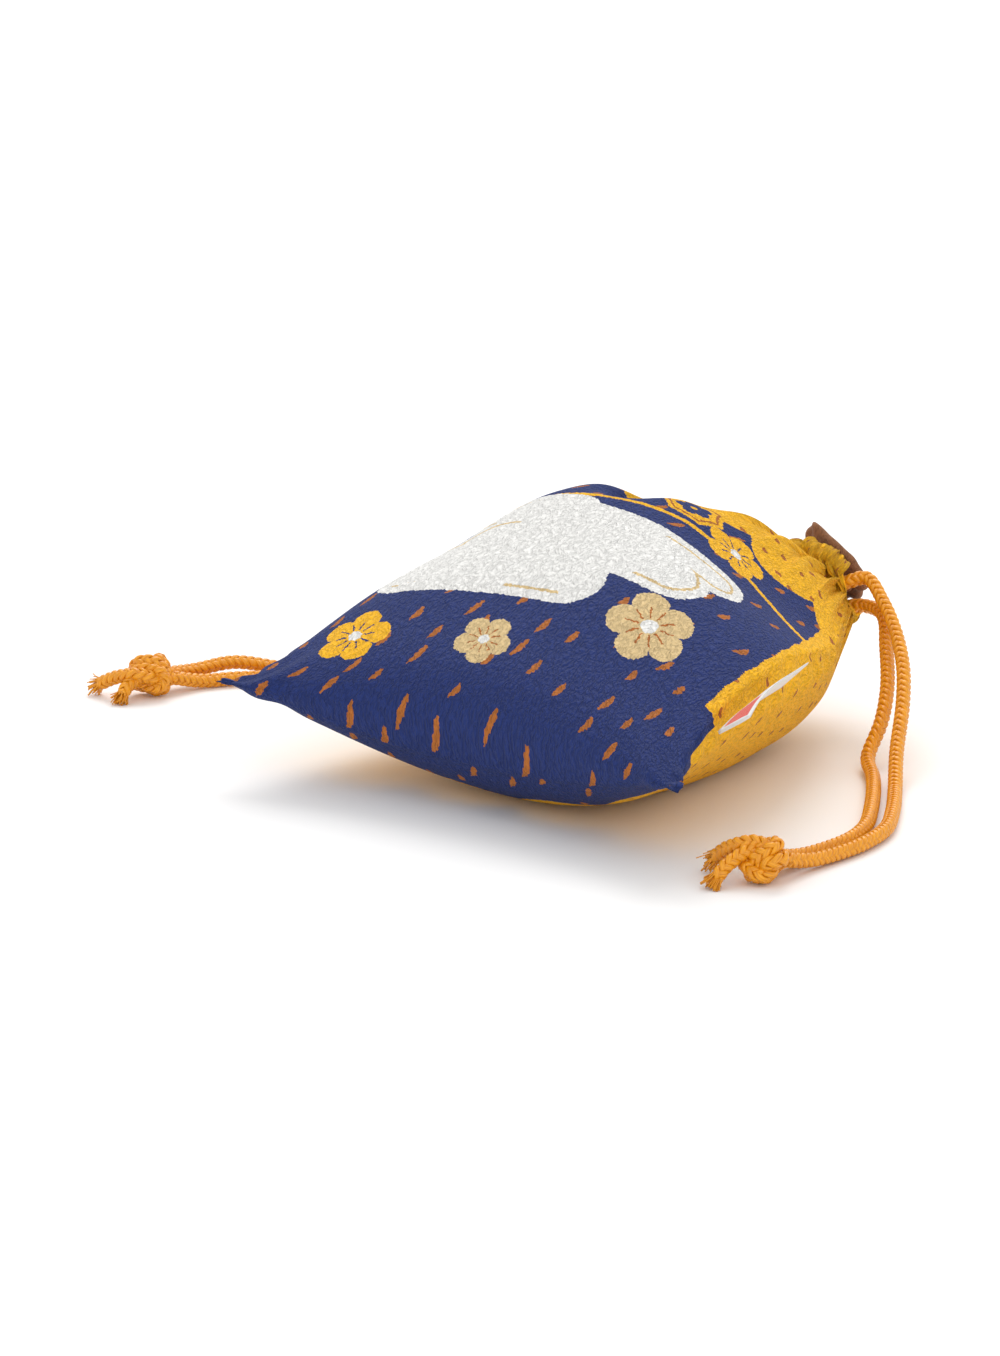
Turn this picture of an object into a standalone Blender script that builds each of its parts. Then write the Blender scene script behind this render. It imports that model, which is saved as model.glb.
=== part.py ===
# A small drawstring pouch lying on its back, filled out and drawn shut.
# Metres, +Z up. +Y runs from the folded bottom edge to the neck.
import math

import bmesh
import bpy
from mathutils import Vector

for thing in list(bpy.data.objects):
    bpy.data.objects.remove(thing, do_unlink=True)

mm = 0.001

# driving sizes
cornerSpan = 120 * mm          # corner to corner along the folded bottom edge
bottomSag = 9 * mm             # how far the bottom edge draws in between its corners
neckX = 2 * mm
neckY = 120.5 * mm
neckZ = 26 * mm
cordWidth = 3.2 * mm
cordRingX = 6.1 * mm           # the cord's loop inside the casing, half width
cordRingFront = 6.8 * mm
cordRingBack = 5.2 * mm
rightRingAlong = 1.4 * mm
leftRingAlong = 4.9 * mm
slitHalf = 6.2 * mm            # half the opening at each end of the casing
knotRadius = 4.5 * mm
tagLength = 30 * mm
tagReach = 9 * mm
tagThick = 0.9 * mm
gap = 0.3 * mm
floorGap = 0.05 * mm

# how the body changes from the folded bottom (0) to the neck (1), millimetres
axisY = ((0, 0), (0.08, 6), (0.2, 20), (0.35, 39), (0.5, 59), (0.65, 79), (0.8, 96.5), (0.92, 111), (1, 120.5))
axisZ = ((0, 20), (0.3, 20), (0.6, 21), (0.8, 22.5), (0.92, 24.5), (1, 26))
lean = ((0, 0), (0.5, 3), (0.7, 10), (0.85, 19), (1, 28))
rise = ((0, 0), (0.02, 3.4), (0.06, 7), (0.2, 16.5), (0.35, 24.5), (0.5, 28.5), (0.65, 28.5), (0.8, 27.5), (0.92, 23.0),
        (1, 10.5))
skew = ((0, 0), (0.3, 0.1), (0.5, 0.3), (0.65, 0.65), (0.8, 0.75), (0.92, 0.35), (1, 0))
drop = ((0, 0), (0.02, 6), (0.06, 10), (0.16, 17), (0.3, 20), (0.6, 22), (0.8, 20), (0.92, 12.5), (1, 8))
halfLeft = ((0, 60), (0.1, 59), (0.25, 58.5), (0.45, 57), (0.62, 52), (0.78, 40), (0.9, 24), (1, 9.5))
halfRight = ((0, 60), (0.1, 57), (0.25, 52), (0.45, 46), (0.62, 38.5), (0.78, 27), (0.9, 17), (1, 9.5))
seamLeft = ((0, 1), (0.3, -1), (0.6, -1), (1, 0))
seamRight = ((0, -1), (0.1, 1.5), (0.2, 5), (0.3, 7), (0.45, 7.5), (0.6, 6), (0.8, 2), (1, 0))
roundFrontLeft = ((0, 0.95), (0.2, 0.55), (0.5, 0.5), (0.8, 0.46), (1, 0.5))
roundFrontRight = ((0, 0.95), (0.2, 0.72), (0.5, 0.58), (0.8, 0.55), (1, 0.5))
roundBack = ((0, 0.95), (0.2, 0.8), (0.5, 0.85), (0.8, 0.85), (1, 0.6))


def collection(name):
    made = bpy.data.collections.new(name)
    bpy.context.scene.collection.children.link(made)
    return made


pouch = collection("drawstring_pouch")
guides = collection("guides")


def along(points, t):
    """A smooth curve through a few (position, value) pairs."""
    count = len(points)
    steps = [(points[i + 1][1] - points[i][1]) / (points[i + 1][0] - points[i][0]) for i in range(count - 1)]
    k = 0
    while k < count - 2 and t > points[k + 1][0]:
        k += 1

    def slope(i):
        if i == 0:
            return steps[0]
        if i == count - 1:
            return steps[-1]
        before = points[i][0] - points[i - 1][0]
        after = points[i + 1][0] - points[i][0]
        return (steps[i - 1] * after + steps[i] * before) / (before + after)

    h = points[k + 1][0] - points[k][0]
    u = (t - points[k][0]) / h
    start = (2 * u ** 3 - 3 * u ** 2 + 1) * points[k][1]
    leave = (u ** 3 - 2 * u ** 2 + u) * h * slope(k)
    end = (3 * u ** 2 - 2 * u ** 3) * points[k + 1][1]
    arrive = (u ** 3 - u ** 2) * h * slope(k + 1)
    return start + leave + end + arrive


def ease(low, high, value):
    u = min(max((value - low) / (high - low), 0.0), 1.0)
    return u * u * (3 - 2 * u)


def bump(value, middle, width):
    return math.exp(-((value - middle) / width) ** 2)


def bodyPoint(s, t, front):
    """The cloth at s across (-1 to 1) and t up from the bottom fold (0 to 1)."""
    nearNeck = ease(0.6, 1.0, t)
    half = along(halfLeft if s < 0 else halfRight, t)
    across = (1 - nearNeck) * s + nearNeck * math.sin(math.pi * s / 2)
    if front:
        power = along(roundFrontLeft if s < 0 else roundFrontRight, t)
    else:
        power = along(roundBack, t)
    dome = (1 - nearNeck) * max(1 - s * s, 0.0) ** power + nearNeck * math.cos(math.pi * s / 2)
    seam = along(seamLeft if s < 0 else seamRight, t) * s * s
    if front:
        height = seam + (along(rise, t) - seam) * dome * (1 - along(skew, t) * s)
        height -= 9.0 * bump(s, -0.36, 0.10) * ease(0.62, 0.79, t) * (1 - ease(0.88, 1.0, t))
        height -= 2.6 * bump(s, -0.17, 0.06) * ease(0.78, 0.90, t) * (1 - ease(0.93, 1.0, t))
    else:
        height = seam - (along(drop, t) + seam) * dome
    gather = 0.9 * ease(0.72, 0.95, t) * (1 - s * s)
    height += gather * math.cos(7 * math.pi * s) * (1 if front else -1)
    turn = math.radians(along(lean, t))
    x = neckX / mm * ease(0.5, 1.0, t) + half * across
    y = along(axisY, t) + bottomSag / mm * (1 - s * s) * (1 - t) ** 2 - height * math.sin(turn)
    z = along(axisZ, t) + height * math.cos(turn)
    return Vector((x, y, max(z, 0.0))) * mm


def neckPoint(angle, depth, halfWide, front, back):
    """A point in the neck's own frame: angle round it, depth out along it."""
    turn = math.radians(lean[-1][1])
    height = (front if math.sin(angle) > 0 else back) * math.sin(angle)
    x = neckX + halfWide * math.cos(angle)
    y = neckY + depth * math.cos(turn) - height * math.sin(turn)
    z = neckZ + depth * math.sin(turn) + height * math.cos(turn)
    return Vector((x, y, z))


def meshObject(name, work, where):
    bmesh.ops.recalc_face_normals(work, faces=work.faces)
    data = bpy.data.meshes.new(name)
    work.to_mesh(data)
    work.free()
    made = bpy.data.objects.new(name, data)
    where.objects.link(made)
    return made


def material(name, colour, roughness, metallic=0.0):
    made = bpy.data.materials.new(name)
    made.use_nodes = True
    shader = made.node_tree.nodes["Principled BSDF"]
    shader.inputs["Base Color"].default_value = (*colour, 1.0)
    shader.inputs["Roughness"].default_value = roughness
    shader.inputs["Metallic"].default_value = metallic
    return made


def give(thing, made):
    thing.data.materials.clear()
    thing.data.materials.append(made)
    return thing


def skin(name, rings, where, folded=False):
    """Closed solid from a run of rings. Both ends are capped, the first one by a strip if it is folded."""
    work = bmesh.new()
    rows = [[work.verts.new(point) for point in ring] for ring in rings]
    count = len(rows[0])
    for low, high in zip(rows, rows[1:]):
        for i in range(count):
            j = (i + 1) % count
            work.faces.new((low[i], low[j], high[j], high[i]))
    for row, flip in ((rows[0], True), (rows[-1], False)):
        if flip and folded:
            half = count // 2
            work.faces.new((row[1], row[0], row[-1]))
            work.faces.new((row[half + 1], row[half], row[half - 1]))
            for i in range(1, half - 1):
                work.faces.new((row[i + 1], row[i], row[count - i], row[count - i - 1]))
            continue
        middle = sum((vert.co for vert in row), Vector()) / count
        centre = work.verts.new(middle)
        for i in range(count):
            j = (i + 1) % count
            work.faces.new((row[j], row[i], centre) if flip else (row[i], row[j], centre))
    return meshObject(name, work, where)


def frillRing(count, depth, halfWide, front, back, ruffle, ear=0.0):
    ring = []
    for i in range(count):
        angle = 2 * math.pi * i / count
        swell = 1 + ruffle * math.cos(9 * angle + 0.6)
        lift = ear * bump(angle, math.radians(112), 0.75)
        ring.append(neckPoint(angle, depth + lift, halfWide * swell, front * swell + lift, back * swell))
    return ring


def outerCloth():
    around = 96
    half = around // 2
    rings = []
    stations = (0.003, 0.016, 0.035, 0.06, 0.09, 0.125, 0.165, 0.21, 0.26, 0.31, 0.37, 0.43, 0.49,
                0.55, 0.61, 0.66, 0.71, 0.755, 0.795, 0.83, 0.865, 0.895, 0.925, 0.95, 0.975, 1.0)
    for t in stations:
        ring = []
        for i in range(half):
            ring.append(bodyPoint(math.cos(math.pi * i / half) if t > 0.6 else 1 - 2 * i / half, t, True))
        for i in range(half):
            ring.append(bodyPoint(-math.cos(math.pi * i / half) if t > 0.6 else -1 + 2 * i / half, t, False))
        rings.append(ring)
    outside = ((1.2, 9.9, 10.9, 8.4, 0.02), (3.2, 10.3, 11.3, 8.8, 0.03), (5.2, 10.1, 11.1, 8.6, 0.04),
               (6.5, 9.4, 10.4, 8.0, 0.04))
    inside = ((6.3, 8.4, 9.5, 7.3, 0.02), (4.5, 8.2, 9.3, 7.2, 0.0), (2.0, 8.2, 9.3, 7.2, 0.0),
              (-0.55, 8.2, 9.3, 7.2, 0.0))
    for depth, wide, front, back, ruffle in outside + inside:
        rings.append(frillRing(around, depth * mm, wide * mm, front * mm, back * mm, ruffle))
    body = skin("outer_cloth", rings, pouch, folded=True)
    for side in (1, -1):
        cutSlit(body, side)
    return give(body, material("yellow_crepe", (0.83, 0.42, 0.04), 0.85))


def cutSlit(body, side):
    """The open end of the casing at one side seam, where the cord comes out."""
    turn = math.radians(lean[-1][1])
    bpy.ops.mesh.primitive_cube_add(size=1)
    cutter = bpy.context.active_object
    cutter.name = "slit_cutter"
    cutter.scale = (12 * mm, 16 * mm, 2 * slitHalf)
    cutter.rotation_euler = (turn, 0, 0)
    out = 7.5 * mm
    cutter.location = (neckX + side * 10.6 * mm, neckY + out * math.cos(turn), neckZ + out * math.sin(turn))
    cutter.display_type = "WIRE"
    cutter.hide_render = True
    bpy.context.view_layer.update()
    for owner in list(cutter.users_collection):
        owner.objects.unlink(cutter)
    guides.objects.link(cutter)
    cut = body.modifiers.new("slit", "BOOLEAN")
    cut.object = cutter
    cut.operation = "DIFFERENCE"
    cut.solver = "EXACT"


def liningCloth():
    around = 72
    outside = ((0.6, 3.8, 4.4, 2.8, 0.0), (3.5, 3.8, 4.4, 2.8, 0.0), (6.8, 3.8, 4.5, 2.9, 0.0),
               (7.3, 6.2, 7.2, 5.2, 0.02), (7.9, 7.6, 8.8, 6.4, 0.04), (8.7, 7.9, 9.2, 6.7, 0.06))
    inside = ((8.8, 7.0, 8.2, 5.8, 0.06), (8.1, 5.6, 6.6, 4.5, 0.04), (7.7, 3.6, 4.2, 3.0, 0.0),
              (7.4, 2.0, 2.4, 1.6, 0.0))
    rings = []
    for depth, wide, front, back, ruffle in outside + inside:
        ear = 3.4 * mm * ease(7.2, 8.8, depth)
        rings.append(frillRing(around, depth * mm, wide * mm, front * mm, back * mm, ruffle, ear))
    cup = skin("lining_cloth", rings, pouch)
    return give(cup, material("brown_lining", (0.27, 0.115, 0.05), 0.9))


def smoothRoute(points, count=24):
    """Centripetal curve through hand-set route points."""
    route = [Vector(point) for point in points]
    route = [route[0] * 2 - route[1]] + route + [route[-1] * 2 - route[-2]]
    fine = []
    for a, b, c, d in zip(route, route[1:], route[2:], route[3:]):
        t1 = (b - a).length ** 0.5
        t2 = t1 + (c - b).length ** 0.5
        t3 = t2 + (d - c).length ** 0.5
        for step in range(count):
            t = t1 + (t2 - t1) * step / count
            ab = a * (t1 - t) / t1 + b * t / t1
            bc = b * (t2 - t) / (t2 - t1) + c * (t - t1) / (t2 - t1)
            cd = c * (t3 - t) / (t3 - t2) + d * (t - t2) / (t3 - t2)
            abc = ab * (t2 - t) / t2 + bc * t / t2
            bcd = bc * (t3 - t) / (t3 - t1) + cd * (t - t1) / (t3 - t1)
            fine.append(abc * (t2 - t) / (t2 - t1) + bcd * (t - t1) / (t2 - t1))
    fine.append(route[-2])
    return fine


def evenly(fine, spacing):
    total = [0.0]
    for a, b in zip(fine, fine[1:]):
        total.append(total[-1] + (b - a).length)
    count = max(2, round(total[-1] / spacing))
    picked = []
    k = 0
    for i in range(count + 1):
        want = total[-1] * i / count
        while k < len(fine) - 2 and total[k + 1] < want:
            k += 1
        part = (want - total[k]) / max(total[k + 1] - total[k], 1e-9)
        point = fine[k].lerp(fine[k + 1], min(part, 1.0))
        point.z = max(point.z, cordWidth / 2 + floorGap)
        picked.append(point)
    return picked


def tube(name, points, made):
    data = bpy.data.curves.new(name, "CURVE")
    data.dimensions = "3D"
    data.bevel_depth = cordWidth / 2
    data.bevel_resolution = 2
    data.use_fill_caps = True
    spline = data.splines.new("POLY")
    spline.points.add(len(points) - 1)
    for target, point in zip(spline.points, points):
        target.co = (*point, 1.0)
    thing = bpy.data.objects.new(name, data)
    pouch.objects.link(thing)
    data.materials.append(made)
    return thing


def cordRing(depth, side):
    """The loop through the casing, open towards the side its ends leave by."""
    ring = []
    for i in range(13):
        angle = math.radians(35 + 290 * i / 12)
        if side < 0:
            angle = math.pi - angle
        ring.append(neckPoint(angle, depth, cordRingX, cordRingFront, cordRingBack))
    return ring


rightFront = ((9.9, 120.7, 30.2), (14.2, 122.8, 31.6), (21.4, 119.4, 28.0), (28.2, 114.6, 23.4), (34.9, 108, 18.3), (40, 101, 13),
              (46.5, 90, 5.9), (54.5, 78.5, 1.7), (63, 66, 1.7), (69.8, 54, 1.7), (72.4, 43, 1.7),
              (72.6, 34, 1.7), (72.3, 26, 2.2), (71.9, 19.3, 3.6))
rightBack = ((12.5, 124.7, 24.9), (19.6, 121.8, 24.4), (25.2, 115.4, 19.6), (31.4, 107.4, 13.9), (35.5, 99.8, 8.5),
             (37.6, 92.4, 2.9), (44.7, 84.3, 1.7), (51.5, 75.2, 1.7), (59.2, 63.8, 1.7), (65.4, 53.4, 1.7),
             (68.3, 44.4, 1.7), (68.8, 35, 1.7), (68.5, 27, 2.1), (68.3, 19.3, 3.6))
leftFront = ((-9.5, 123.2, 31.8), (-17, 122.5, 28.8), (-26, 120, 22.6), (-37, 114, 14.3), (-49, 106, 6.5),
             (-62, 97, 1.8), (-77, 87.7, 1.7), (-92, 78.7, 1.7), (-104.5, 70.7, 2.4), (-112.6, 62.5, 4.2),
             (-116.8, 54.5, 3.4), (-118.5, 46.2, 3.8))
leftBack = ((-9.2, 125.6, 24.2), (-16, 123.6, 20.9), (-27, 118, 14.2), (-38, 109.8, 7.0), (-49.5, 101.2, 2.0),
            (-63, 92.2, 1.7), (-77, 83.4, 1.7), (-90, 75.3, 1.7), (-101.5, 67.2, 1.7), (-109.2, 59.4, 1.7),
            (-113.2, 52.4, 1.9), (-115.0, 45.6, 3.6))


def drawcord(name, front, back, depth, side, made):
    ring = cordRing(depth, side)
    lead = [Vector(point) * mm for point in reversed(front)]
    tail = [Vector(point) * mm for point in back]
    fine = smoothRoute(lead + ring + tail)
    return tube(name, evenly(fine, 4.2 * mm), made)


def knot(name, centre, heading, made):
    """An overhand knot of both ends, with two short frayed tails."""
    work = bmesh.new()
    bmesh.ops.create_uvsphere(work, u_segments=28, v_segments=18, radius=1.0)
    for vert in work.verts:
        ring = math.atan2(vert.co.y, vert.co.z)
        wrap = 0.09 * math.cos(2.6 * math.pi * vert.co.x + 1.3 * math.sin(ring))
        strand = 0.05 * math.cos(3 * ring + 2 * vert.co.x)
        edge = 1 - abs(vert.co.x) ** 4
        vert.co = vert.co * (1 + (wrap + strand) * edge) * knotRadius * 0.93
        vert.co.x *= 1.08
    turn = Vector((1, 0, 0)).rotation_difference(heading.normalized())
    bmesh.ops.rotate(work, verts=work.verts, cent=(0, 0, 0), matrix=turn.to_matrix())
    bmesh.ops.translate(work, verts=work.verts, vec=centre)
    body = meshObject(name, work, pouch)
    side = heading.normalized().cross(Vector((0, 0, 1)))
    for offset, reach in ((2.2, 10.2), (-2.2, 9.2)):
        start = centre + heading.normalized() * 2.5 * mm + side * offset * 0.5 * mm
        end = centre + heading.normalized() * reach * mm + side * offset * mm
        end.z = max(1.9 * mm, centre.z - 1.6 * mm)
        addTail(body, start, end)
    return give(body, made)


def addTail(body, start, end):
    reach = end - start
    bpy.ops.mesh.primitive_cone_add(vertices=12, radius1=1.35 * mm, radius2=1.75 * mm, depth=reach.length)
    tail = bpy.context.active_object
    tail.name = "tail_guide"
    tail.rotation_euler = Vector((0, 0, 1)).rotation_difference(reach.normalized()).to_euler()
    tail.location = (start + end) / 2
    tail.display_type = "WIRE"
    tail.hide_render = True
    bpy.context.view_layer.update()
    for owner in list(tail.users_collection):
        owner.objects.unlink(tail)
    guides.objects.link(tail)
    join = body.modifiers.new("tail", "BOOLEAN")
    join.object = tail
    join.operation = "UNION"
    join.solver = "EXACT"


def sideTag():
    """A folded ribbon caught in the right side seam, its free edge drooping at the near end."""
    steps = 16
    work = bmesh.new()
    rows = []
    for i in range(steps + 1):
        u = i / steps
        t = 0.215 + u * 0.225
        root = bodyPoint(1.0, t, True) + Vector((gap + 0.15 * mm, 0, 0))
        tilt = math.radians(43 - 3 * (1 - u) ** 2)
        tip = root + Vector((tagReach * math.cos(tilt), 0, tagReach * math.sin(tilt)))
        rows.append([work.verts.new(root.lerp(tip, k / 4)) for k in range(5)])
    for low, high in zip(rows, rows[1:]):
        for k in range(4):
            work.faces.new((low[k], low[k + 1], high[k + 1], high[k]))
    tag = meshObject("side_tag", work, pouch)
    thick = tag.modifiers.new("thickness", "SOLIDIFY")
    thick.thickness = tagThick
    thick.offset = 0
    soft = tag.modifiers.new("soft_edge", "BEVEL")
    soft.width = 0.2 * mm
    soft.segments = 2
    return give(tag, material("tag_ribbon", (0.86, 0.85, 0.82), 0.6))


def settle():
    """Put the middle of the pouch's footprint at the origin and its underside on the floor."""
    bpy.context.view_layer.update()
    graph = bpy.context.evaluated_depsgraph_get()
    low = Vector((1e9, 1e9, 1e9))
    high = -low
    for name in ("outer_cloth", "lining_cloth", "side_tag"):
        for vert in bpy.data.objects[name].evaluated_get(graph).data.vertices:
            for axis in range(3):
                low[axis] = min(low[axis], vert.co[axis])
                high[axis] = max(high[axis], vert.co[axis])
    shift = Vector((-(low.x + high.x) / 2, -(low.y + high.y) / 2, -low.z))
    for thing in list(pouch.objects) + list(guides.objects):
        if thing.type == "CURVE":
            for point in thing.data.splines[0].points:
                point.co.xyz = point.co.xyz + shift
        elif thing.name in guides.objects:
            thing.location += shift
        else:
            for vert in thing.data.vertices:
                vert.co += shift
    bpy.context.view_layer.update()


cordMaterial = material("golden_cord", (0.72, 0.29, 0.02), 0.5)
outerCloth()
liningCloth()
drawcord("drawcord_right", rightFront, rightBack, rightRingAlong, 1, cordMaterial)
drawcord("drawcord_left", leftFront, leftBack, leftRingAlong, -1, cordMaterial)
knot("knot_right", Vector((70.2, 13.7, 4.7)) * mm, Vector((-0.75, -0.66, 0)), cordMaterial)
knot("knot_left", Vector((-117.6, 40.6, 4.7)) * mm, Vector((-0.5, -0.86, 0)), cordMaterial)
sideTag()
settle()
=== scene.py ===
import math
import bpy
import bmesh
import numpy as np
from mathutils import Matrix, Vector


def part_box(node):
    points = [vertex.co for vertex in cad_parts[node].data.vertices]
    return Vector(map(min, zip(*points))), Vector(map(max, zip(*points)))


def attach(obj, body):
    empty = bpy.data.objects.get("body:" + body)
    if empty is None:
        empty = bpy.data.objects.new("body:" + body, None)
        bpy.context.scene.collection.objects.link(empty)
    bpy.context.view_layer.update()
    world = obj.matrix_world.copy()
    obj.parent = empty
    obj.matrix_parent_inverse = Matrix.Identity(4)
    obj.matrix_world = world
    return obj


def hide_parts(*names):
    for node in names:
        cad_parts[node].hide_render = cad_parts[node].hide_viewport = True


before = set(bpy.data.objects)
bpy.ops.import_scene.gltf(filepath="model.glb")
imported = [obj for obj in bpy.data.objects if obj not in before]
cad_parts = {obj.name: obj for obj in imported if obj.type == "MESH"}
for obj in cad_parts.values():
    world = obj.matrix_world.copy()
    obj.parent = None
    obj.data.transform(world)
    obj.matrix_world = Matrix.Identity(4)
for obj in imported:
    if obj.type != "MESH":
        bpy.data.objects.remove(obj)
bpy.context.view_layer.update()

mm = 0.001
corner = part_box("outer_cloth")[0]
home = np.array((corner[0] + 0.05997, corner[1] - 0.000223, 0.0))  # middle of the bottom fold, on the floor


def place(points):  # millimetres from the bottom fold to metres in the frame
    return np.asarray(points, float) * mm + home


def unit(rows):
    return rows / np.linalg.norm(rows, axis=1)[:, None]


def runAlong(line):  # distance from the start of a line to each of its points
    return np.concatenate(([0], np.cumsum(np.linalg.norm(np.diff(line, axis=0), axis=1))))


# camera, floor and light
view = {"eye": (663, -773.4, 295.4), "aim": (-20.7, 43.6, 19.6), "lens": 142}


def makeCamera():
    data = bpy.data.cameras.new("camera")
    data.lens = view["lens"]
    data.sensor_width = 36
    made = bpy.data.objects.new("camera", data)
    bpy.context.scene.collection.objects.link(made)
    eye = Vector(place(view["eye"]))
    made.location = eye
    made.rotation_euler = (Vector(place(view["aim"])) - eye).to_track_quat("-Z", "Y").to_euler()
    bpy.context.scene.camera = made


def newMaterial(name):
    made = bpy.data.materials.new(name)
    made.use_nodes = True
    return made, made.node_tree, made.node_tree.nodes["Principled BSDF"]


def setSockets(shader, **values):
    for name, value in values.items():
        shader.inputs[name.replace("_", " ")].default_value = value


def feed(tree, socket, value):  # link another node's socket, or set a plain value
    if isinstance(value, bpy.types.NodeSocket):
        tree.links.new(value, socket)
    else:
        socket.default_value = value


def addNode(tree, kind, options=None, **values):
    made = tree.nodes.new(kind)
    for name, value in (options or {}).items():
        setattr(made, name, value)
    for name, value in values.items():
        feed(tree, made.inputs[name.replace("_", " ")], value)
    return made


def calc(tree, operation, *values):
    made = addNode(tree, "ShaderNodeMath", {"operation": operation})
    for socket, value in zip(made.inputs, values):
        feed(tree, socket, value)
    return made.outputs[0]


def within(tree, value, low, high):  # 1 between the two limits
    return calc(tree, "MULTIPLY", calc(tree, "GREATER_THAN", value, low),
                calc(tree, "LESS_THAN", value, high))


def dye(tree, mask, under, over, blend="MIX"):  # lay one colour over another where the mask is 1
    made = addNode(tree, "ShaderNodeMix", {"data_type": "RGBA", "blend_type": blend})
    for number, value in ((0, mask), (6, under), (7, over)):
        feed(tree, made.inputs[number], value)
    return made.outputs[2]


def newGroup(name, takes, *gives):  # in takes, None stands for a vector
    group = bpy.data.node_groups.new(name, "ShaderNodeTree")
    for label, value in takes.items():
        kind = "NodeSocketVector" if value is None else "NodeSocketFloat"
        socket = group.interface.new_socket(name=label, in_out="INPUT", socket_type=kind)
        if value is not None:
            socket.default_value = value
    for label in gives:
        group.interface.new_socket(name=label, in_out="OUTPUT", socket_type="NodeSocketFloat")
    return group, group.nodes.new("NodeGroupInput").outputs, group.nodes.new("NodeGroupOutput").inputs


def useGroup(tree, group, **values):
    return addNode(tree, "ShaderNodeGroup", {"node_tree": group}, **values)


def stray(tree, cloth, scale, reach):  # shift a position about by a soft noise
    drift = addNode(tree, "ShaderNodeTexNoise", Vector=cloth, Scale=scale, Detail=2.0)
    shift = addNode(tree, "ShaderNodeVectorMath", {"operation": "SUBTRACT"})
    bent = addNode(tree, "ShaderNodeVectorMath", {"operation": "MULTIPLY_ADD"})
    for socket, value in ((shift.inputs[0], drift.outputs["Color"]), (shift.inputs[1], (0.5, 0.5, 0.5)),
                          (bent.inputs[0], shift.outputs[0]), (bent.inputs[1], (reach, reach, 0)),
                          (bent.inputs[2], cloth)):
        feed(tree, socket, value)
    return bent.outputs[0]


def clothMillimetres(tree, layer):
    unwrapped = addNode(tree, "ShaderNodeUVMap", {"uv_map": layer})
    made = addNode(tree, "ShaderNodeVectorMath", {"operation": "SCALE"}, Vector=unwrapped.outputs["UV"],
                   Scale=100.0)
    return made.outputs[0]


def finishPiece(thing, material, smooth=True):
    thing.data.materials.clear()
    thing.data.materials.append(material)
    if smooth and thing.type == "MESH":
        thing.data.polygons.foreach_set("use_smooth", [True] * len(thing.data.polygons))
    return thing


def faceOutward(work):  # open shells too: faces look away from the middle of the piece
    bmesh.ops.recalc_face_normals(work, faces=work.faces)
    middle = sum((v.co for v in work.verts), Vector()) / len(work.verts)
    if sum(f.normal.dot(f.calc_center_median() - middle) * f.calc_area() for f in work.faces) < 0:
        bmesh.ops.reverse_faces(work, faces=work.faces)


def linkMesh(name, data):
    made = bpy.data.objects.new(name, data)
    bpy.context.scene.collection.objects.link(made)
    return made


def layGrid(across, upward, layerName):  # a flat grid from -1 to 1 both ways, with its own UV layer
    work = bmesh.new()
    bmesh.ops.create_grid(work, x_segments=across, y_segments=upward, size=1)
    layer = work.loops.layers.uv.new(layerName)
    work.verts.ensure_lookup_table()
    return work, layer, np.array([v.co[:2] for v in work.verts])


def shapeGrid(work, layer, points, uvs):  # move the grid's corners to millimetre points and unwrap it
    for vert, spot in zip(work.verts, place(points)):
        vert.co = spot
    for face in work.faces:
        for loop in face.loops:
            loop[layer].uv = uvs[loop.vert.index]


def sewGrid(work, gap):  # join edges that meet, then face the cloth outwards
    bmesh.ops.remove_doubles(work, verts=[v for v in work.verts if v.is_boundary], dist=gap)
    faceOutward(work)


def thicken(name, work, thick, offset):  # turn the finished grid into an object with a cloth's thickness
    data = bpy.data.meshes.new(name)
    work.to_mesh(data)
    work.free()
    made = linkMesh(name, data)
    wall = made.modifiers.new("cloth thickness", "SOLIDIFY")
    wall.thickness = thick * mm
    wall.offset = offset
    return made


stage = {"size": 4.0, "colour": (0.93, 0.925, 0.92, 1), "key": 10.0, "fill": 3.0, "sky": 0.88}


def makeStage():
    work = bmesh.new()
    bmesh.ops.create_grid(work, x_segments=1, y_segments=1, size=stage["size"])
    data = bpy.data.meshes.new("floor")
    work.to_mesh(data)
    work.free()
    floor = linkMesh("floor", data)
    material, shader = newMaterial("paleFloor")[::2]
    setSockets(shader, Base_Color=stage["colour"], Roughness=0.9)
    finishPiece(floor, material, False)
    world = bpy.data.worlds.new("studio")
    world.use_nodes = True
    world.node_tree.nodes["Background"].inputs["Color"].default_value = (1, 1, 1, 1)
    world.node_tree.nodes["Background"].inputs["Strength"].default_value = stage["sky"]
    bpy.context.scene.world = world
    bpy.context.scene.view_settings.view_transform = "Standard"
    for name, power, size, spot in (("keyLight", stage["key"], 0.9, (-0.55, 0.75, 1.1)),
                                    ("fillLight", stage["fill"], 1.2, (0.9, -0.7, 0.9))):
        data = bpy.data.lights.new(name, "AREA")
        data.energy = power
        data.size = size
        lamp = bpy.data.objects.new(name, data)
        lamp.location = spot
        lamp.rotation_euler = (Vector((0, 0, 0.02)) - Vector(spot)).to_track_quat("-Z", "Y").to_euler()
        bpy.context.scene.collection.objects.link(lamp)


makeCamera()
makeStage()
print("camera, floor and light are up")

# the four free ends of the two drawcords
cordSetup = {"width": 3.2, "lead": 6.6, "yarns": 4, "step": 0.36, "middle": 0.95, "weave": 0.30,
             "yarn": (0.68, 0.36), "rest": 1.66, "offset": 0.35,
             "colours": ((0.58, 0.19, 0.003, 1), (1.0, 0.43, 0.008, 1))}

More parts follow.
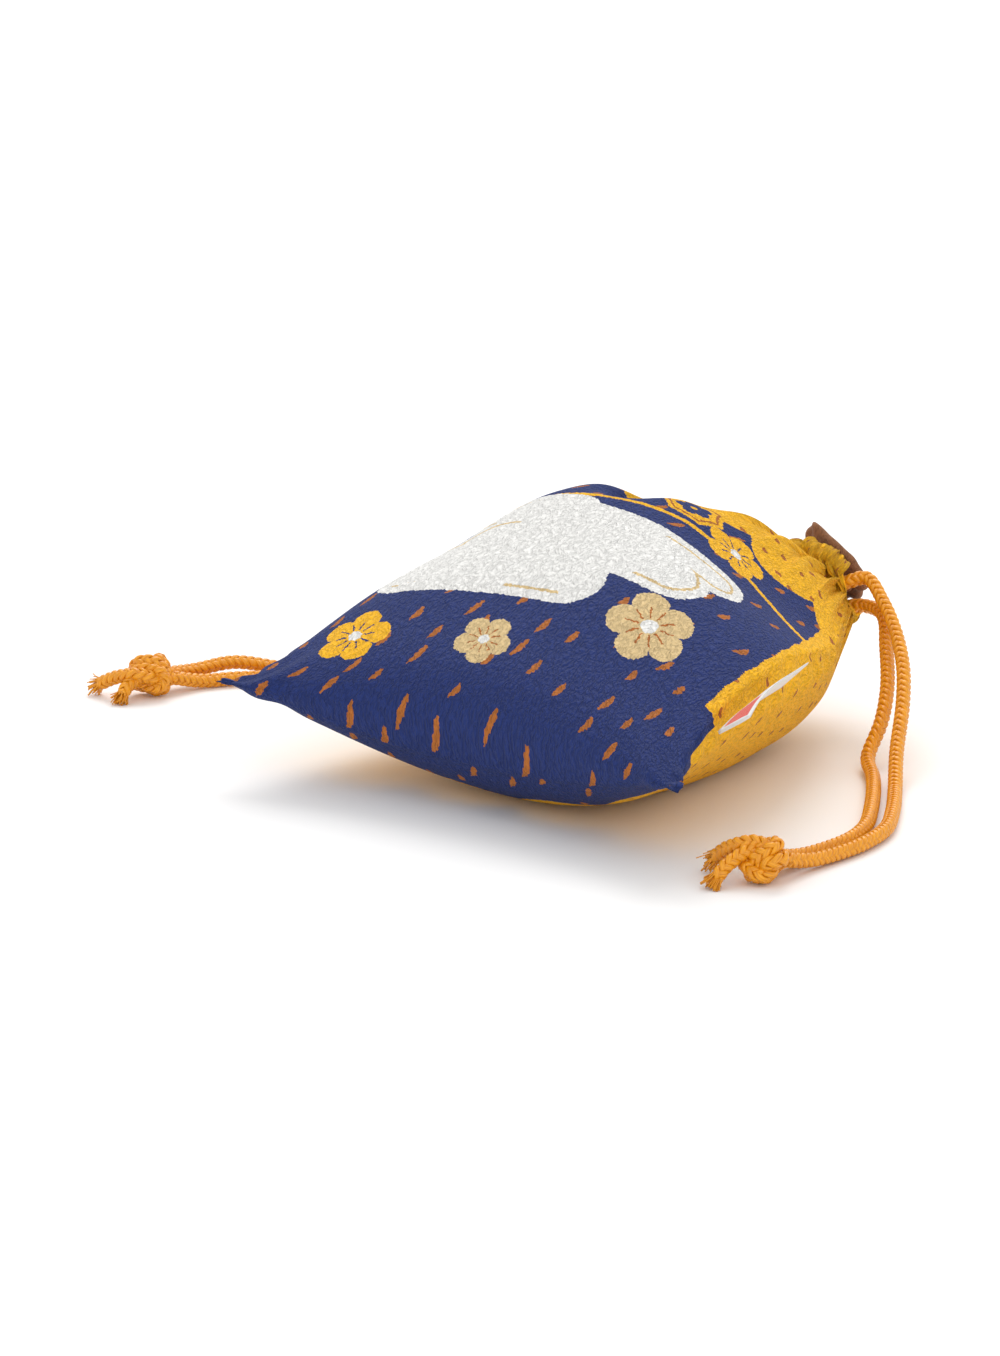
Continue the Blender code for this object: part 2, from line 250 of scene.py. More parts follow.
routes = {
    "rightFront": ((7.0, 119.9, 30.1), (9.9, 120.7, 30.2), (14.2, 122.8, 31.6), (21.4, 119.4, 28.0),
                   (28.2, 114.6, 23.4), (34.9, 108, 18.3), (40, 101, 13), (46.5, 90, 5.9), (54.5, 78.5, 1.7),
                   (63, 66, 1.7), (69.8, 54, 1.7), (72.4, 43, 1.7), (72.6, 34, 1.7), (72.3, 26, 2.2),
                   (71.9, 18.6, 3.8)),
    "rightBack": ((7.0, 123.1, 24.0), (12.5, 124.7, 24.9), (19.6, 121.8, 24.4), (25.2, 115.4, 19.6),
                  (31.4, 107.4, 13.9), (35.5, 99.8, 8.5), (37.6, 92.4, 2.9), (44.7, 84.3, 1.7),
                  (51.5, 75.2, 1.7), (59.2, 63.8, 1.7), (65.4, 53.4, 1.7), (68.3, 44.4, 1.7), (68.8, 35, 1.7),
                  (68.5, 27, 2.1), (68.3, 18.6, 3.8)),
    "leftFront": ((-3.0, 123.0, 31.7), (-9.5, 123.2, 31.8), (-17, 122.5, 28.8), (-26, 120, 22.6),
                  (-37, 114, 14.3), (-49, 106, 6.5), (-62, 97, 1.8), (-77, 87.7, 1.7), (-92, 78.7, 1.7),
                  (-104.5, 70.7, 2.4), (-112.6, 62.5, 4.2), (-116.8, 54.5, 3.4), (-118.5, 46.2, 3.8)),
    "leftBack": ((-3.0, 126.2, 25.7), (-9.2, 125.6, 24.2), (-16, 123.6, 20.9), (-27, 118, 14.2),
                 (-38, 109.8, 7.0), (-49.5, 101.2, 2.0), (-63, 92.2, 1.7), (-77, 83.4, 1.7),
                 (-90, 75.3, 1.7), (-101.5, 67.2, 1.7), (-109.2, 59.4, 1.7), (-113.2, 52.4, 1.9),
                 (-115.0, 45.6, 3.6)),
}


def smoothRoute(points, step):
    route = np.asarray(points, float)
    route = np.vstack((2 * route[0] - route[1], route, 2 * route[-1] - route[-2]))
    fine = []
    for a, b, c, d in zip(route, route[1:], route[2:], route[3:]):
        t1 = np.linalg.norm(b - a) ** 0.5
        t2 = t1 + np.linalg.norm(c - b) ** 0.5
        t3 = t2 + np.linalg.norm(d - c) ** 0.5
        t = np.linspace(t1, t2, 24, endpoint=False)[:, None]
        ab = a * (t1 - t) / t1 + b * t / t1
        bc = b * (t2 - t) / (t2 - t1) + c * (t - t1) / (t2 - t1)
        cd = c * (t3 - t) / (t3 - t2) + d * (t - t2) / (t3 - t2)
        abc = ab * (t2 - t) / t2 + bc * t / t2
        bcd = bc * (t3 - t) / (t3 - t1) + cd * (t - t1) / (t3 - t1)
        fine.append(abc * (t2 - t) / (t2 - t1) + bcd * (t - t1) / (t2 - t1))
    fine = np.vstack(fine + [route[-2]])
    run = runAlong(fine)
    even = np.linspace(0, run[-1], max(3, int(round(run[-1] / step)) + 1))
    line = np.stack([np.interp(even, run, fine[:, i]) for i in range(3)], 1)
    line[:, 2] = np.maximum(line[:, 2], cordSetup["rest"])  # the cord lies on the table
    return line, even


def framesAlong(line):  # directions across a line that turn as little as they can
    tangent = unit(np.gradient(line, axis=0))
    side = np.cross(tangent[0], (0, 0, 1))
    if np.linalg.norm(side) < 0.1:
        side = np.cross(tangent[0], (0, 1, 0))
    sides = []
    for heading in tangent:
        side = side - heading * (side @ heading)
        side = side / np.linalg.norm(side)
        sides.append(side)
    sides = np.array(sides)
    return tangent, sides, np.cross(tangent, sides)


def braidYarns(line, run, start=0.0):  # eight satin yarns, four each way, two over and two under
    across, up = framesAlong(line)[1:]
    yarns = []
    for way in (1, -1):
        for k in range(cordSetup["yarns"]):
            angle = way * 2 * math.pi * (run + start) / cordSetup["lead"] + k * math.pi / 2
            if way > 0:
                angle = angle + cordSetup["offset"]
            radius = cordSetup["middle"] + way * cordSetup["weave"] * np.cos(2 * angle)
            out = np.cos(angle)[:, None] * across + np.sin(angle)[:, None] * up
            centre = line + radius[:, None] * out
            along = unit(np.gradient(centre, axis=0))
            yarns.append((centre, out, unit(np.cross(along, out))))
    return yarns


def yarnMesh(name, yarns, half=cordSetup["yarn"], corners=7):
    points, faces, uvs = [], [], []
    base = 0
    turn = np.linspace(0, 2 * math.pi, corners, endpoint=False)
    for number, (centre, out, flat) in enumerate(yarns):
        count = len(centre)
        rings = (centre[:, None] + half[0] * np.cos(turn)[None, :, None] * flat[:, None]
                 + half[1] * np.sin(turn)[None, :, None] * out[:, None])
        points.append(rings.reshape(-1, 3))
        i, j = np.meshgrid(np.arange(count - 1), np.arange(corners), indexing="ij")
        nxt = (j + 1) % corners
        here, there = i * corners, (i + 1) * corners
        quad = np.stack((here + j, here + nxt, there + nxt, there + j), -1)
        faces.append(quad.reshape(-1, 4)[:, ::-1] + base)
        run = runAlong(centre)
        u = np.stack((run[i], run[i], run[i + 1], run[i + 1]), -1)
        v = np.stack((j, j + 1, j + 1, j), -1) / corners + number
        uvs.append(np.stack((u, v), -1).reshape(-1, 4, 2)[:, ::-1].reshape(-1, 2))
        base += count * corners
    data = bpy.data.meshes.new(name)
    data.from_pydata(place(np.vstack(points)).tolist(), [], np.vstack(faces).tolist())
    layer = data.uv_layers.new(name="yarn")
    layer.data.foreach_set("uv", np.vstack(uvs).ravel())
    work = bmesh.new()
    work.from_mesh(data)
    bmesh.ops.holes_fill(work, edges=[e for e in work.edges if e.is_boundary], sides=corners)
    bmesh.ops.recalc_face_normals(work, faces=work.faces)
    work.to_mesh(data)
    work.free()
    return linkMesh(name, data)


# overhand knots: both ends laid side by side, then the loop is drawn in until it holds itself open
knotSetup = {"press": 1.9, "length": 54.0, "span": 28.0, "rounds": 1000, "points": 90, "beside": 1.15,
             "loop": (6.0, 3.4, 3.74), "pulls": 8}
frayed = {"fibres": 56, "reach": (2.0, 3.6), "spread": (0.2, 1.0), "hang": 0.35, "fibre": (0.17, 0.11)}


def evenPoints(line, count):
    run = runAlong(line)
    spots = np.linspace(0, run[-1], count)
    return np.stack([np.interp(spots, run, line[:, i]) for i in range(3)], 1)


def drawKnotTight():
    count, press = knotSetup["points"], knotSetup["press"]
    turn = np.linspace(0.06, 0.94, 260) * 2 * math.pi
    radius, swing, high = knotSetup["loop"]
    wide = radius + swing * np.cos(3 * turn)
    loop = np.stack((wide * np.cos(2 * turn), wide * np.sin(2 * turn), high * np.sin(3 * turn)), 1)
    first = np.linspace(loop[0] + (4, -14, 0), loop[0], 40, endpoint=False)
    last = np.linspace(loop[-1], loop[-1] + (4, 14, 0), 41)[1:]
    line = evenPoints(np.vstack((first, loop, last)), count)
    sides = framesAlong(line)[1]
    rope = np.vstack((line + sides * knotSetup["beside"], line - sides * knotSetup["beside"]))
    spot = np.arange(2 * count) % count
    strand = np.arange(2 * count) // count
    begin = np.linalg.norm(np.diff(line, axis=0), axis=1).mean()
    end = knotSetup["length"] / (count - 1)
    apart = np.abs(spot[:, None] - spot[None])
    meets = ~((strand[:, None] == strand[None]) & (apart * end < press * 1.4))
    for turnNumber in range(knotSetup["rounds"]):
        want = begin + (end - begin) * min(turnNumber / (knotSetup["rounds"] * 0.75), 1.0)
        gaps = rope[:, None] - rope[None]
        reach = np.linalg.norm(gaps, axis=2) + 1e-9
        push = (np.where((reach < press) & meets, (press - reach) / reach * 0.45, 0)[..., None] * gaps).sum(1)
        for k in (0, 1):
            one = rope[k * count:(k + 1) * count]
            push[k * count + 1:(k + 1) * count - 1] += 0.2 * ((one[:-2] + one[2:]) / 2 - one[1:-1])
        rope = rope + np.clip(push, -0.25, 0.25)
        for k, beside in ((0, knotSetup["beside"]), (1, -knotSetup["beside"])):
            one = rope[k * count:(k + 1) * count]
            one[0] += ((beside, -knotSetup["span"] / 2, 0) - one[0]) * 0.04
            one[-1] += ((beside, knotSetup["span"] / 2, 0) - one[-1]) * 0.04
            for pull in range(knotSetup["pulls"]):
                step = one[1:] - one[:-1]
                size = np.linalg.norm(step, axis=1)[:, None]
                fix = (size - want) / size * 0.45 * step
                one[:-1] += fix
                one[1:] -= fix
    middle = rope[np.abs(rope[:, 1]) < 4.5].mean(0)
    return rope[:count] - middle, rope[count:] - middle


knots = {"right": {"centre": (70.2, 13.7, 4.75), "heading": (-0.75, -0.66), "roll": 20,
                   "ends": ((71.9, 18.6, 3.8), (68.3, 18.6, 3.8)), "came": (0.05, 1.0, -0.1),
                   "tips": ((59.6, 12.6, 3.6), (65.4, 5.0, 1.9))},
         "left": {"centre": (-117.6, 40.6, 4.75), "heading": (-0.5, -0.86), "roll": 110,
                  "ends": ((-118.5, 46.2, 3.8), (-115.0, 45.6, 3.6)), "came": (0.2, 1.0, -0.1),
                  "tips": ((-126.2, 34.2, 2.7), (-117.6, 32.2, 1.9))}}


def knotPaths(setup, tight):
    ahead = np.array((*setup["heading"], 0.0))
    ahead /= np.linalg.norm(ahead)
    side = np.cross(ahead, (0, 0, 1))
    roll = math.radians(setup["roll"])
    paths = []
    for strand, end, tip in zip(tight, setup["ends"], setup["tips"]):
        x, y, z = strand[::-1].T
        x, z = x * math.cos(roll) - z * math.sin(roll), x * math.sin(roll) + z * math.cos(roll)
        body = np.array(setup["centre"]) + np.outer(-y, ahead) + np.outer(x, side) + np.outer(z, (0, 0, 1))
        keep = (y < 4.0) & (y > -4.6)
        first = np.argmax(keep)
        last = len(keep) - np.argmax(keep[::-1])
        body = body[first:last]
        end, tip = np.array(end), np.array(tip)
        bridge = body[-1] * 0.45 + tip * 0.55 + (0, 0, 0.4)
        paths.append(np.vstack((end, end - 1.2 * np.array(setup["came"]), body[1:-1:2], bridge, tip)))
    return paths


def frayedEnd(line, seed):  # loose fibres where the braid opens
    tangent, across, up = framesAlong(line[-12:])
    rng = np.random.default_rng(seed)
    fibres = []
    for k in range(frayed["fibres"]):
        angle = rng.uniform(0, 2 * math.pi)
        spread = rng.uniform(*frayed["spread"])
        out = math.cos(angle) * across[-1] + math.sin(angle) * up[-1]
        reach = rng.uniform(*frayed["reach"])
        t = np.linspace(0, 1, 8)[:, None]
        bend = rng.normal(0, 0.35, 3)
        centre = (line[-4] + out * (0.45 + 0.7 * spread) + tangent[-1] * reach * t
                  + out * spread * 1.15 * t ** 1.6 + bend * t ** 2 + (0, 0, -frayed["hang"]) * t ** 2)
        centre[:, 2] = np.maximum(centre[:, 2], 0.2)
        along = unit(np.gradient(centre, axis=0))
        flat = unit(np.cross(along, out))
        fibres.append((centre, np.cross(flat, along), flat))
    return fibres


def makeCords():
    pieces, lines = {}, {}
    tight = drawKnotTight()
    for name, route in routes.items():
        line, run = smoothRoute(route, cordSetup["step"])
        pieces[name] = yarnMesh("strand_" + name, braidYarns(line, run))
        lines[name] = (line, run[-1])
        print("strand", name, "is", round(float(run[-1]), 1), "mm")
    for side, setup in knots.items():
        yarns, frays = [], []
        for k, path in enumerate(knotPaths(setup, tight)):
            line, run = smoothRoute(path, cordSetup["step"])
            yarns += braidYarns(line, run, lines[side + ("Front" if k == 0 else "Back")][1])
            frays += frayedEnd(line, 7 * k + len(side))
        pieces["knot" + side] = yarnMesh("knot_of_" + side, yarns)
        pieces["fray" + side] = yarnMesh("frayed_ends_" + side, frays, frayed["fibre"], 4)
    return pieces, lines


def makeCordMaterial():
    made, tree, shader = newMaterial("goldenCord")
    uv = addNode(tree, "ShaderNodeUVMap", {"uv_map": "yarn"})
    stretch = addNode(tree, "ShaderNodeMapping", Vector=uv.outputs["UV"], Scale=(0.35, 14, 1))
    fibre = addNode(tree, "ShaderNodeTexNoise", Vector=stretch.outputs["Vector"], Scale=1.0, Detail=3)
    shade = addNode(tree, "ShaderNodeValToRGB", Fac=fibre.outputs["Fac"])
    for stop, position, colour in zip(shade.color_ramp.elements, (0.25, 0.75), cordSetup["colours"]):
        stop.position = position
        stop.color = colour
    bump = addNode(tree, "ShaderNodeBump", Strength=0.5, Distance=0.08 * mm, Height=fibre.outputs["Fac"])
    feed(tree, shader.inputs["Base Color"], shade.outputs["Color"])
    feed(tree, shader.inputs["Normal"], bump.outputs["Normal"])
    setSockets(shader, Roughness=0.36, Sheen_Weight=0.02, Sheen_Roughness=0.4,
               Sheen_Tint=(1.0, 0.75, 0.35, 1))
    return made


cords, cordLines = makeCords()
cordMaterial = makeCordMaterial()
for piece in cords.values():
    finishPiece(piece, cordMaterial)
    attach(piece, "root")
for side in ("right", "left"):
    for end in ("Front", "Back"):
        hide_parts("drawcord_" + side)
    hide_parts("knot_" + side)
print("cords, knots and frayed ends are laid")

# the cloth bag: one length of crepe folded at the bottom and sewn up both sides
# (position from fold to neck, millimetres)
bag = {
    "axisY": ((0, 0), (0.08, 6), (0.2, 20), (0.35, 39), (0.5, 59), (0.65, 79), (0.8, 96.5), (0.92, 111),
              (1, 120.5)),
    "axisZ": ((0, 20), (0.3, 20), (0.6, 21), (0.8, 22.5), (0.92, 24.5), (1, 26)),
    "lean": ((0, 0), (0.5, 3), (0.7, 10), (0.85, 19), (1, 28)),
    "rise": ((0, 0), (0.02, 3.4), (0.06, 7), (0.2, 16.5), (0.35, 24.5), (0.5, 28.5), (0.65, 28.5),
             (0.8, 27.5), (0.92, 23.0), (1, 10.5)),
    "skew": ((0, 0), (0.3, 0.1), (0.5, 0.3), (0.65, 0.65), (0.8, 0.75), (0.92, 0.35), (1, 0)),
    "drop": ((0, 0), (0.02, 6), (0.06, 10), (0.16, 17), (0.3, 20), (0.6, 22), (0.8, 20), (0.92, 12.5),
             (1, 8)),
    "halfLeft": ((0, 60), (0.1, 59), (0.25, 58.5), (0.45, 57), (0.62, 52), (0.78, 40), (0.9, 24), (1, 9.5)),
    "halfRight": ((0, 60), (0.1, 57), (0.25, 52), (0.45, 46), (0.62, 38.5), (0.78, 27), (0.9, 17),
                  (1, 9.5)),
    "seamLeft": ((0, 1), (0.3, -1), (0.6, -1), (1, 0)),
    "seamRight": ((0, -1), (0.1, 1.5), (0.2, 5), (0.3, 7), (0.45, 7.5), (0.6, 6), (0.8, 2), (1, 0)),
    "frontLeft": ((0, 0.95), (0.2, 0.55), (0.5, 0.5), (0.8, 0.46), (1, 0.5)),
    "frontRight": ((0, 0.95), (0.2, 0.72), (0.5, 0.58), (0.8, 0.55), (1, 0.5)),
    "back": ((0, 0.95), (0.2, 0.8), (0.5, 0.85), (0.8, 0.85), (1, 0.6)),
    "hemDepth": ((0, 0), (2, 2), (4, 3.9), (5.6, 5.35), (6.6, 6.1), (7.4, 6.4), (8.2, 6.1), (9.2, 5.2),
                 (11, 3.4)),
    "hemSwell": ((0, -0.3), (0.7, 0.3), (1.8, 1.1), (3.4, 1.5), (4.8, 1.2), (5.8, 0.6), (6.6, 0.05),
                 (7.4, -0.6), (8.2, -1.05), (9.2, -1.2), (11, -1.3)),
    "sag": 9.0, "neck": (2.0, 120.5, 26.0), "flatHalf": 62.5, "bodyLength": 130.0, "hem": 11.0,
    "across": 150, "upward": 300, "thick": 0.7, "pleats": 9,
}
# how far each kind of unevenness lifts the cloth, in millimetres
relief = {"gathers": 1.8, "fine": 0.32, "broad": 0.55, "lumps": 0.8, "folds": 1.0, "puckers": 0.4,
          "groove": 2.2}
# creases pressed into the front: (across, how deep, how wide, where it starts, where it ends)
creases = ((-0.36, 9.5, 0.10, 0.62, 1.0), (-0.17, 3.0, 0.05, 0.78, 1.0), (0.00, 2.4, 0.05, 0.80, 1.0),
           (0.16, 2.4, 0.055, 0.78, 1.0), (0.38, 2.2, 0.06, 0.76, 1.0), (-0.70, 2.6, 0.07, 0.70, 1.0),
           (0.62, 1.8, 0.05, 0.74, 1.0))


def readCurve(points, t):
    x = np.array([p[0] for p in points], float)
    y = np.array([p[1] for p in points], float)
    steps = np.diff(y) / np.diff(x)
    between = (steps[:-1] * np.diff(x)[1:] + steps[1:] * np.diff(x)[:-1]) / (x[2:] - x[:-2])
    slope = np.concatenate(([steps[0]], between, [steps[-1]]))
    k = np.clip(np.searchsorted(x, t, side="right") - 1, 0, len(x) - 2)
    h = x[k + 1] - x[k]
    u = (t - x[k]) / h
    return ((2 * u ** 3 - 3 * u ** 2 + 1) * y[k] + (u ** 3 - 2 * u ** 2 + u) * h * slope[k]
            + (3 * u ** 2 - 2 * u ** 3) * y[k + 1] + (u ** 3 - u ** 2) * h * slope[k + 1])


def ease(low, high, value):
    u = np.clip((value - low) / (high - low), 0, 1)
    return u * u * (3 - 2 * u)


def hump(value, middle, width):
    return np.exp(-((value - middle) / width) ** 2)


def bodySurface(s, t, front):  # front is 1 on the front panel and 0 on the back
    nearNeck = ease(0.6, 1.0, t)
    half = np.where(s < 0, readCurve(bag["halfLeft"], t), readCurve(bag["halfRight"], t))
    across = (1 - nearNeck) * s + nearNeck * np.sin(math.pi * s / 2)
    frontPower = np.where(s < 0, readCurve(bag["frontLeft"], t), readCurve(bag["frontRight"], t))
    power = np.where(front > 0, frontPower, readCurve(bag["back"], t))
    dome = (1 - nearNeck) * np.clip(1 - s * s, 0, 1) ** power + nearNeck * np.cos(math.pi * s / 2)
    seam = np.where(s < 0, readCurve(bag["seamLeft"], t), readCurve(bag["seamRight"], t)) * s * s
    above = seam + (readCurve(bag["rise"], t) - seam) * dome * (1 - readCurve(bag["skew"], t) * s)
    for where, deep, wide, start, stop in creases:
        above = above - deep * hump(s, where, wide) * ease(start, start + 0.17, t) * (1 - ease(0.88, stop, t))
    below = seam - (readCurve(bag["drop"], t) + seam) * dome
    height = np.where(front > 0, above, below)
    lean = np.radians(readCurve(bag["lean"], t))
    x = bag["neck"][0] * ease(0.5, 1.0, t) + half * across
    y = readCurve(bag["axisY"], t) + bag["sag"] * (1 - s * s) * (1 - t) ** 2 - height * np.sin(lean)
    z = readCurve(bag["axisZ"], t) + height * np.cos(lean)
    return np.stack((x, y, z), -1)


def neckSurface(angle, depth, wide, front, back):
    lean = math.radians(bag["lean"][-1][1])
    height = np.where(np.sin(angle) > 0, front, back) * np.sin(angle)
    x = bag["neck"][0] + wide * np.cos(angle)
    y = bag["neck"][1] + depth * math.cos(lean) - height * math.sin(lean)
    z = bag["neck"][2] + depth * math.sin(lean) + height * math.cos(lean)
    return np.stack((x, y, z), -1)


def wavering(x, y, seed):  # smooth uneven value between about -1 and 1
    rng = np.random.default_rng(seed)
    total = 0
    for k in range(6):
        ax, ay, shift = rng.normal(0, 1), rng.normal(0, 1), rng.uniform(0, 6.28)
        total = total + np.sin(ax * x + ay * y + shift)
    return total / 3.2


def clothSurface(s, run):  # s across, run in millimetres up the cloth from the fold, negative on the back
    front = (run >= 0).astype(float)
    length = np.abs(run)
    t = np.clip(length / bag["bodyLength"], 0, 1)
    body = bodySurface(s, t, front)
    hem = np.clip(length - bag["bodyLength"], 0, bag["hem"])
    opening = 90 - 34 * ease(0.0, 1.4, hem)
    angle = np.radians(np.where(front > 0, 90 - s * opening, -90 + s * opening))
    depth = readCurve(bag["hemDepth"], hem)
    swell = readCurve(bag["hemSwell"], hem)
    neck = neckSurface(angle, depth, 9.5 + swell, 10.5 + swell, 8.0 + swell)
    return np.where((length > bag["bodyLength"])[..., None], neck, body), t, hem, front


def gridNormals(points):
    du = np.gradient(points, axis=0)
    dv = np.gradient(points, axis=1)
    normal = np.cross(du, dv)
    return normal / np.maximum(np.linalg.norm(normal, axis=2)[..., None], 1e-9)


def clothDetail(spread, climb, t, hem, front):  # gathers, soft lumps, seam puckers and corner folds
    phase = bag["pleats"] * math.pi * spread + 0.9 * wavering(spread * 3, t * 2, 4) + front * 1.3
    sharp = np.abs(np.sin(phase / 2)) ** 0.8
    fade = 1 - 0.72 * ease(0, 2.5, hem)
    gathers = (0.5 - sharp) * (0.35 + ease(0.8, 1.0, t)) * relief["gathers"] * ease(0.68, 0.95, t) * fade
    fine = relief["fine"] * np.sin(2.7 * phase + 3 * wavering(spread * 4, t * 3, 9))
    fine = fine * ease(0.82, 0.98, t) * fade
    broad = relief["broad"] * np.sin(phase * 0.42 + 1.1) * ease(0.5, 3.5, hem)
    lumps = relief["lumps"] * wavering(spread * 3.2, climb / 26, 21)
    lumps = lumps * ease(0.04, 0.3, t) * (1 - ease(0.85, 1, t))
    folds = relief["folds"] * np.sin((climb * 0.55 + np.abs(spread) * 62) / 2.6)
    folds = folds * hump(np.abs(spread), 0.86, 0.10) * hump(climb, 5, 16)
    puckers = relief["puckers"] * np.sin(climb / 1.25 + 2 * wavering(climb / 30, spread, 5))
    puckers = puckers * hump(np.abs(spread), 0.965, 0.035) * (1 - ease(0.95, 1, t))
    return (gathers + fine + broad + lumps + folds) * (1 - np.abs(spread) ** 10) + puckers


def makeOuterCloth():
    nu, nv = bag["across"], bag["upward"]
    work, layer, flat = layGrid(nu, nv, "cloth")
    column = np.round((flat[:, 0] + 1) / 2 * nu).astype(int)
    row = np.round((flat[:, 1] + 1) / 2 * nv).astype(int)
    s = np.linspace(-1, 1, nu + 1)
    w = np.linspace(-1, 1, nv + 1)
    rows = (w + 0.09 * np.sin(math.pi * w)) * (bag["bodyLength"] + bag["hem"])
    spread, climb = np.meshgrid(s + 0.06 * np.sin(math.pi * s), rows, indexing="ij")
    points, t, hem, front = clothSurface(spread, climb)
    normal = gridNormals(points)
    if normal[nu // 2, int(nv * 0.75)][2] < 0:
        normal = -normal
    points = points + normal * clothDetail(spread, climb, t, hem, front)[..., None]
    groove = relief["groove"] * hump(np.abs(spread), 1.0, 0.035)
    groove = groove * ease(0.03, 0.14, t) * (1 - ease(0.6, 0.85, t))
    points[..., 0] -= np.sign(spread) * groove
    points[..., 2] = np.maximum(points[..., 2], 0.15)
    for edge in (0, nu):  # both panels meet on one line up each side seam
        for j in range(nv // 2):
            if hem[edge, j] <= 0:
                shared = (points[edge, j] + points[edge, nv - j]) / 2
                points[edge, j] = shared
                points[edge, nv - j] = shared
    reach = np.cumsum(np.linalg.norm(np.diff(points, axis=0, prepend=points[:1]), axis=2), axis=0)
    across = (2 * reach / reach[-1] - 1) * bag["flatHalf"]  # true distance across the cloth
    uvs = np.stack((across[column, row] / 100, climb[column, row] / 100), 1)
    shapeGrid(work, layer, points[column, row], uvs)
    sewGrid(work, 0.02 * mm)
    return thicken("crepe_bag", work, bag["thick"], -1)


bagPiece = makeOuterCloth()
print("the bag has", len(bagPiece.data.polygons), "faces")

# colours of the dyes and threads
dyes = {"navy": (0.018, 0.036, 0.165, 1), "gold": (1.0, 0.52, 0.014, 1), "white": (0.90, 0.89, 0.86, 1),
        "tan": (0.76, 0.56, 0.28, 1), "caramel": (0.48, 0.15, 0.028, 1), "red": (0.72, 0.03, 0.015, 1)}


def makeCrepeGrainAndShadeMask():  # irregular raised wrinkles of a twisted-yarn cloth, from millimetres on the cloth, and a mask of their valleys where shade is painted into the colour
    group, takes, gives = newGroup("crepeGrainAndShadeMask", {"Cloth": None, "Wide": 0.6, "Long": 1.5},
                                   "Height", "ValleyShade")
    parts = addNode(group, "ShaderNodeSeparateXYZ", Vector=stray(group, takes["Cloth"], 0.45, 2.2))
    wide = calc(group, "DIVIDE", parts.outputs[0], takes["Wide"])
    long = calc(group, "DIVIDE", parts.outputs[1], takes["Long"])
    cell = addNode(group, "ShaderNodeCombineXYZ", X=wide, Y=long).outputs[0]
    wrinkle = addNode(group, "ShaderNodeTexNoise", Vector=cell, Scale=0.8, Detail=2.5, Roughness=0.55)
    ridge = addNode(group, "ShaderNodeTexVoronoi", {"feature": "SMOOTH_F1"}, Vector=cell, Scale=0.9,
                    Smoothness=0.4)
    mixed = calc(group, "ADD", calc(group, "MULTIPLY", wrinkle.outputs["Fac"], 1.3),
                 calc(group, "MULTIPLY", ridge.outputs["Distance"], -0.75))
    high = addNode(group, "ShaderNodeMapRange", Value=mixed, From_Min=0.0, From_Max=0.65)
    # a mask of the wrinkle valleys, where shade is painted into the cloth's colour
    low = addNode(group, "ShaderNodeMapRange", Value=mixed, From_Min=0.05, From_Max=0.34, To_Min=1.0,
                  To_Max=0.0)
    feed(group, gives["Height"], high.outputs[0])
    feed(group, gives["ValleyShade"], low.outputs[0])
    return group


def reachOf(tree, x, y):
    return calc(tree, "SQRT", calc(tree, "ADD", calc(tree, "MULTIPLY", x, x), calc(tree, "MULTIPLY", y, y)))


def makeBlossom():  # a five-petalled flower with a round heart and stamens
    group, takes, gives = newGroup("blossom", {"X": 0.0, "Y": 0.0, "Across": 0.0, "Up": 0.0, "Radius": 10.0,
                                               "Turn": 0.0}, "Petals", "Lines", "Heart")
    x = calc(group, "SUBTRACT", takes["X"], takes["Across"])
    y = calc(group, "SUBTRACT", takes["Y"], takes["Up"])
    away = calc(group, "DIVIDE", reachOf(group, x, y), takes["Radius"])
    angle = calc(group, "ADD", calc(group, "ARCTAN2", y, x), takes["Turn"])
    petal = calc(group, "ABSOLUTE", calc(group, "COSINE", calc(group, "MULTIPLY", angle, 2.5)))
    rim = calc(group, "ADD", calc(group, "MULTIPLY", calc(group, "POWER", petal, 0.55), 0.36), 0.64)
    spoke = calc(group, "ABSOLUTE", calc(group, "SINE", calc(group, "MULTIPLY", angle, 5.0)))
    thin = calc(group, "LESS_THAN", calc(group, "MULTIPLY", spoke, away), 0.11)
    inner = calc(group, "LESS_THAN", away, 0.56)
    outer = calc(group, "GREATER_THAN", away, 0.24)
    feed(group, gives["Petals"], calc(group, "LESS_THAN", away, rim))
    feed(group, gives["Lines"], calc(group, "MULTIPLY", thin, calc(group, "MULTIPLY", inner, outer)))
    feed(group, gives["Heart"], calc(group, "LESS_THAN", away, 0.19))
    return group


def makeCapsule():  # how far a point is outside a long round-ended shape
    group, takes, gives = newGroup("capsule", {"X": 0.0, "Y": 0.0, "Left": 0.0, "Right": 1.0, "Level": 0.0,
                                               "Radius": 5.0}, "Outside")
    held = calc(group, "MINIMUM", calc(group, "MAXIMUM", takes["X"], takes["Left"]), takes["Right"])
    x = calc(group, "SUBTRACT", takes["X"], held)
    y = calc(group, "SUBTRACT", takes["Y"], takes["Level"])
    feed(group, gives["Outside"], calc(group, "SUBTRACT", reachOf(group, x, y), takes["Radius"]))
    return group


